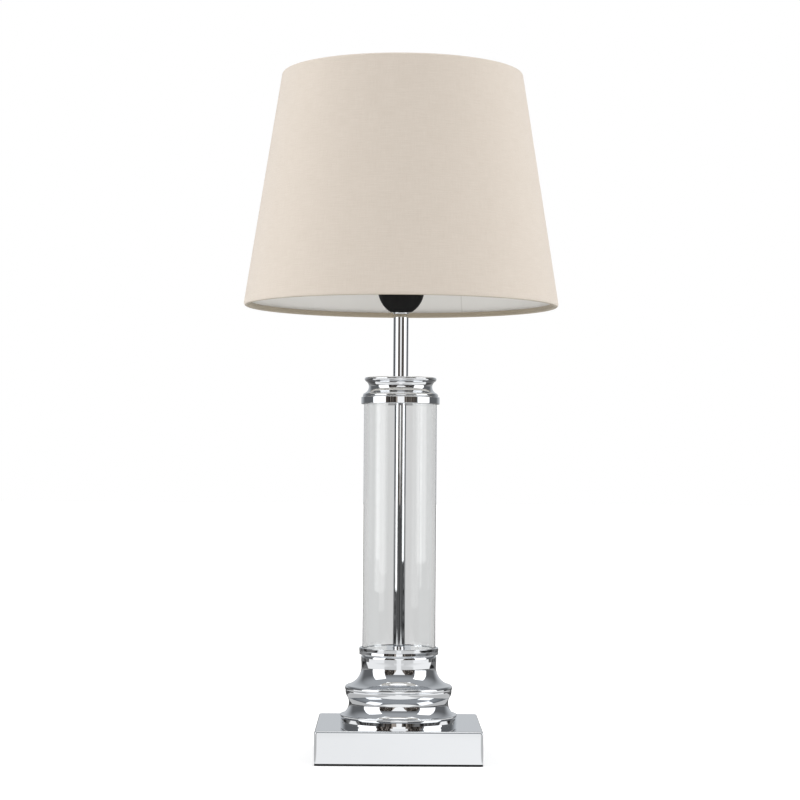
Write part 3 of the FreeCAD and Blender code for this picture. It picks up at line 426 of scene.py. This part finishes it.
def floor_finish():
    """Pale floor: to the camera it keeps the lamp's soft shadow and turns white further off.

    Through glass it is an even grey. Chrome mirrors it as a pale sheet on a dark floor with stripes.
    """
    paint = finish("pale_floor")
    camera, glossy, clear = light_kinds(paint)
    across, away, _ = paint.split(paint.place())
    near = 0.0 - away
    sideways = across.size()
    out_squared = across * across + away * away
    sheet = near.band(SHEET_FAR_EDGE, SHEET_NEAR_EDGE) * (1.0 - sideways.step(*SHEET_SIDE_EDGE))
    slant = sideways / near.most(0.02)
    wedges = near.step(0.22, 0.42) * slant.band((0.08, 0.15), (0.85, 1.10))
    # The mirrored sheet is painted darker in two wedges in front, and brighter on the right as painted light.
    level = SHEET_LEVEL - WEDGE_DIMMING * wedges + RIGHT_PAINTED_LIGHT * across.step(-0.10, 0.10)
    # Painted shadow: the mirrored sheet is darkened beside the base.
    painted_base_shadow = sideways.step(0.070, 0.095) * (1.0 - out_squared.step(0.06, 0.16))
    level = level * (1.0 - BASE_SHADOW_DEPTH * painted_base_shadow)
    stripes = paint.noise(paint.node("CombineXYZ", X=across / near.most(0.5)), 2.2, 1.0)
    around = 0.02 + 0.16 * stripes.step(0.40, 0.60) + 0.25 * away.step(0.3, 2.0)
    mirrored = mixed(clear, mixed(sheet, around, level), THROUGH_GLASS)
    lit = paint.node("BsdfDiffuse", Color=(0.90, 0.90, 0.90))
    glow = paint.node("Emission", Color=WHITE, Strength=FLOOR_GLOW + FAR_GLOW * out_squared.step(0.02, 3.0))
    seen = paint.node("AddShader", n0=lit, n1=glow)
    shown = paint.node("Emission", Color=WHITE, Strength=mirrored)
    by_mirror_or_glass = glossy.most(clear) * (1.0 - camera)
    unseen = paint.node("MixShader", n0=by_mirror_or_glass, n1=lit, n2=shown)
    return paint.surface(paint.node("MixShader", n0=camera, n1=unseen, n2=seen))


def lay_floor():
    """A plain square floor under the lamp."""
    corners = [(across * FLOOR_HALF, away * FLOOR_HALF, 0.0)
               for across, away in ((-1, -1), (1, -1), (1, 1), (-1, 1))]
    mesh = bpy.data.meshes.new("floor")
    mesh.from_pydata(corners, [], [(0, 1, 2, 3)])
    mesh.materials.append(floor_finish())
    floor = bpy.data.objects.new("floor", mesh)
    bpy.context.scene.collection.objects.link(floor)


def light_surroundings():
    """The world: white to the camera, an even grey through glass, and a plain studio in the mirror of chrome.

    In that studio the walls are grey. In front, between the soft boxes, stands dark kit with a panel, a
    post and ribs, and in its middle a bright trapezium with a dark eye. The light on the object itself
    is soft, and stronger from the sides than from front and back.
    """
    world = bpy.data.worlds.new("studio")
    bpy.context.scene.world = world
    paint = Finish(world)
    camera, glossy, clear = light_kinds(paint)
    direction = paint.node("TexCoord", out="Generated")
    across, away, up = paint.split(direction)
    near = 0.0 - away
    wall = (0.14 + 0.46 * away.step(0.60, 1.0) + 0.28 * up.step(0.35, 0.80)
            + 0.13 * near.step(-0.10, 0.30) * (1.0 - up.step(0.30, 0.45)))
    front = near.step(0.62, 0.70) * up.band((-0.06, -0.02), (0.38, 0.46))
    ribs = paint.noise(direction, 2.2, 3.0, 0.6, stretch=(9.0, 1.0, 5.0))
    dark = 0.012 + 0.09 * ribs.step(0.42, 0.56) + 0.40 * ribs.step(0.60, 0.66)
    panel = (across + 0.155).size().below(0.080)
    post = (across - 0.275).size().below(0.022)
    half_width = 0.12 * up.step(-0.02, 0.03) + 0.30 * up
    centre = 1.0 - ((across - 0.02).size() - half_width).step(0.03, 0.06)
    eye = (across + 0.035).size().below(0.030) * up.below(0.0)
    kit = mixed(centre * (1.0 - eye), dark + 0.30 * panel + 0.20 * post, CENTRE_LEVEL)
    tint = paint.blend(front, WALL_TINT, paint.blend(centre, CENTRE_TINT, WHITE))
    colour = paint.blend((1.0 - camera) * (1.0 - clear) * glossy, WHITE, tint)
    lighting = mixed(glossy, FRONT_LIGHT + SIDE_LIGHT * across.size(), mixed(front, wall, kit))
    strength = mixed(camera, mixed(clear, lighting, THROUGH_GLASS), 1.0)
    paint.surface(paint.node("Background", Color=colour, Strength=strength))


def hang_lamp(name, place, aim, size):
    """A soft box that faces its aim; its size is its width, height and watts."""
    light = bpy.data.lights.new(name, "AREA")
    light.shape = "RECTANGLE"
    light.size, light.size_y, light.energy = size
    lamp = bpy.data.objects.new(name, light)
    lamp.location = place
    lamp.rotation_euler = (Vector(aim) - Vector(place)).to_track_quat("-Z", "Y").to_euler()
    lamp.visible_camera = False
    bpy.context.scene.collection.objects.link(lamp)


def light_object():
    """Two tall soft boxes in front, left and right, and a weak one above."""
    for name, across, near, level in SOFT_BOXES:
        hang_lamp(name, (across, -near, level), (0.0, 0.0, level), SOFT_BOX_SIZE)
    hang_lamp("top_box", (0.0, 0.1, 1.7), (0.0, 0.0, 0.3), TOP_BOX_SIZE)


# ---------------------------------------------------------------- meshes


def make_piece(name, points, faces, material, body):
    """A smooth mesh piece of the lamp: points and faces as arrays, riding on its body."""
    mesh = bpy.data.meshes.new(name)
    mesh.from_pydata(points.reshape(-1, 3).tolist(), [], faces)
    mesh.polygons.foreach_set("use_smooth", [True] * len(mesh.polygons))
    mesh.materials.append(material)
    mesh.update()
    piece = bpy.data.objects.new(name, mesh)
    bpy.context.scene.collection.objects.link(piece)
    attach(piece, body)
    return piece


def grid_faces(rows, columns):
    """Quads of a grid that closes on itself both ways, row by row.

    The point in row r and column c has the number r * columns + c, and a quad joins it to the next
    column, the next row's next column and the next row.
    """
    row, column = np.meshgrid(np.arange(rows), np.arange(columns), indexing="ij")
    next_row = (row + 1) % rows
    next_column = (column + 1) % columns
    quads = np.stack([row * columns + column, row * columns + next_column,
                      next_row * columns + next_column, next_row * columns + column], axis=-1)
    return quads.reshape(-1, 4)


def turn_profile(profile, count):
    """Each profile point (radius, height) carried once round the axis in count steps.

    At an angle it lies at radius times the angle's cosine, radius times its sine, and its height.
    """
    angle = np.linspace(0.0, 2.0 * math.pi, count, endpoint=False)
    radius = profile[:, 0][:, None]
    height = np.repeat(profile[:, 1][:, None], count, axis=1)
    return np.stack([radius * np.cos(angle), radius * np.sin(angle), height], axis=-1)


def wall_place(along, inward):
    """Points beside the shade's wall: so far up its slope and so far in from its outer face."""
    return np.stack([SHADE_LOW_RADIUS - along * LEAN_IN - inward * LEAN_UP,
                     SHADE_LEVEL + along * LEAN_UP - inward * LEAN_IN], axis=-1)


def shade_section():
    """Section of the cloth: up the outer face, over the top wire and in, down the liner side, round the
    lower wire; with the distance along it at each point.
    """
    low, high = HEM_ROLL, SHADE_SLOPE - HEM_ROLL
    steps = np.linspace(low, high, WALL_STEPS)
    half_turn = np.linspace(0.0, math.pi, ROLL_STEPS + 1)[1:-1]

    def hem_roll(centre, radius, sign, angles):
        """Half a circle about the wire's middle: centre + radius * sine up, HEM_ROLL - radius * cosine in."""
        return wall_place(centre + sign * radius * np.sin(angles), HEM_ROLL - radius * np.cos(angles))

    def tuck(start, end, inward):
        """The turned-in edge, from start to end up the slope."""
        return wall_place(np.linspace(start, end, TUCK_STEPS), np.full(TUCK_STEPS, inward))

    outside = 2.0 * HEM_ROLL
    inside = outside - CLOTH
    section = np.concatenate([
        wall_place(steps, np.zeros_like(steps)),
        hem_roll(high, HEM_ROLL, 1.0, half_turn),
        tuck(high, high - HEM_REACH, outside),
        tuck(high - HEM_REACH, high, inside),
        hem_roll(high, HEM_WIRE, 1.0, half_turn[::-1]),
        wall_place(steps[::-1], np.full_like(steps, CLOTH)),
        hem_roll(low, HEM_WIRE, -1.0, half_turn),
        tuck(low, low + HEM_REACH, inside),
        tuck(low + HEM_REACH, low, outside),
        hem_roll(low, HEM_ROLL, -1.0, half_turn[::-1]),
    ])
    pieces = np.linalg.norm(np.roll(section, -1, axis=0) - section, axis=1)
    return section, np.concatenate([[0.0], np.cumsum(pieces)])


def map_threads(piece, length):
    """The cloth's map: metres round the shade across, and the section's length along."""
    rows = len(length) - 1
    place = np.zeros((rows * ROUND_STEPS, 4, 2))
    row, column = np.divmod(np.arange(rows * ROUND_STEPS), ROUND_STEPS)
    for corner, (up, onward) in enumerate(((0, 0), (0, 1), (1, 1), (1, 0))):
        place[:, corner, 0] = (column + onward) * (MAP_ROUND / ROUND_STEPS)
        place[:, corner, 1] = length[row + up]
    layer = piece.data.uv_layers.new(name="thread")
    layer.data.foreach_set("uv", place.ravel())


def make_shade_cloth():
    """The shade's cloth as one skin: its section carried round the axis."""
    section, length = shade_section()
    # The lower hem's painted shade runs from its turned-in edge round most of its roll.
    material = cloth_finish(length[-1] - math.pi * HEM_ROLL - HEM_REACH,
                            length[-1] - UNSHADED_ROLL * math.pi * HEM_ROLL)
    piece = make_piece("shade_cloth", turn_profile(section, ROUND_STEPS),
                       grid_faces(len(section), ROUND_STEPS).tolist(), material, "shade")
    map_threads(piece, length)
    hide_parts("shade_cover")


# ---------------------------------------------------------------- the lamp


def dress_lamp():
    """Gives each node the finish of its slot, and lays the cloth over the shade."""
    finishes = {
        "chrome": chrome_finish(),
        "glass": glass_finish(),
        "liner": liner_finish(),
        "foam": foam_finish(),
        "seal": moulded_finish("silicone_seal", (0.55, 0.56, 0.55), 0.40),
        "zinc": metal_finish("zinc_plate", (0.62, 0.63, 0.65), 0.25),
        "iron": metal_finish("cast_weight", (0.16, 0.16, 0.165), 0.62, (1.0, 1.0, 1.0)),
        "black_plastic": moulded_finish("black_plastic", (0.006, 0.0058, 0.0056), 0.45, 0.15),
        "brass": metal_finish("pressed_brass", (0.75, 0.58, 0.28), 0.22),
        "white_metal": coated_finish("white_coat", (0.82, 0.82, 0.80), 0.35),
    }
    for entry in frame["record"]["subparts"]:
        if entry["material_slot"] in finishes:
            node = frame["nodes"][entry["node"]]
            node.data.materials.clear()
            node.data.materials.append(finishes[entry["material_slot"]])
    make_shade_cloth()


place_camera()
light_surroundings()
lay_floor()
light_object()
dress_lamp()

bpy.context.scene.view_settings.view_transform = "Standard"
